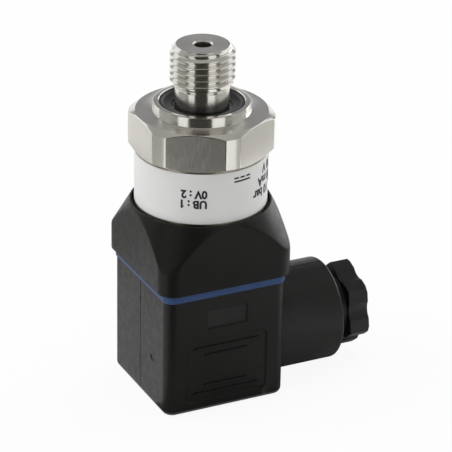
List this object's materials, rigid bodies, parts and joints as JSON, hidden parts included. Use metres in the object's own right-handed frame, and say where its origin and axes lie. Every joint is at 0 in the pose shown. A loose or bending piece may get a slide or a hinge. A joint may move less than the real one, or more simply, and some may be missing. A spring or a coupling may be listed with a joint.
{
  "type": "pressure sensor",
  "caption": "Industrial pressure transmitter: threaded stainless port with hexagon, round labelled case and a black angular cable plug with a gland.",
  "frame": {"origin": "centre of the plug's cover, the face that it stands on, on the axis of the pressure port", "axes": "+Z along the pressure port's axis towards the threaded stub; +X along the cable gland, away from the plug"},
  "size_m": [0.0503, 0.0294, 0.0749],
  "materials": {
    "stainless": "turned, satin",
    "seal_rubber": "smooth, slightly glossy",
    "label_foil": "satin white foil",
    "board": "solder mask",
    "component": "moulded",
    "black_plastic": "fine satin moulding",
    "insert_plastic": "smooth moulding",
    "tinned_brass": "tin plated",
    "brass": "turned",
    "blue_rubber": "matt",
    "zinc_steel": "zinc plated"
  },
  "bodies": {
    "plug": {"plug_housing": "black_plastic", "flat_gasket": "blue_rubber", "contact_insert": "insert_plastic", "terminal_1": "tinned_brass", "terminal_2": "tinned_brass", "terminal_3": "tinned_brass", "terminal_earth": "tinned_brass", "terminal_screws": "zinc_steel", "gland_grommet": "seal_rubber"},
    "sensor": {"process_fitting": "stainless", "case_tube": "stainless", "sensor_cell": "stainless", "seal_ring": "seal_rubber", "case_seal": "seal_rubber", "label": "label_foil", "circuit_board": "board", "board_components": "component", "connector_base": "black_plastic", "blade_1": "tinned_brass", "blade_2": "tinned_brass", "blade_3": "tinned_brass", "blade_earth": "tinned_brass", "screw_bush": "brass"},
    "screw_guide": {"screw_ring": "seal_rubber"},
    "screw": {"fixing_screw": "zinc_steel"},
    "gland_guide": {"gland_ring": "insert_plastic"},
    "nut": {"gland_nut": "black_plastic"}
  },
  "joints": [
    {"name": "sensor_lift", "type": "slide", "parent": "plug", "child": "sensor", "axis": [0, 0, 1], "range_m": [0, 0.018]},
    {"name": "screw_travel", "type": "slide", "parent": "plug", "child": "screw_guide", "axis": [0, 0, -1], "range_m": [0, 0.0055]},
    {"name": "screw_turn", "type": "hinge", "parent": "screw_guide", "child": "screw", "pos_m": [0, 0, 0.002], "axis": [0, 0, -1], "range_deg": [0, 3961]},
    {"name": "gland_travel", "type": "slide", "parent": "plug", "child": "gland_guide", "axis": [1, 0, 0], "range_m": [0, 0.0045]},
    {"name": "gland_turn", "type": "hinge", "parent": "gland_guide", "child": "nut", "pos_m": [0.03, 0, 0.0108], "axis": [1, 0, 0], "range_deg": [0, 1080.5]}
  ],
  "couplings": [
    {"joint": "screw_turn", "follows": "screw_travel", "rad_per_m": 12566},
    {"joint": "gland_turn", "follows": "gland_travel", "rad_per_m": 4188.8}
  ]
}
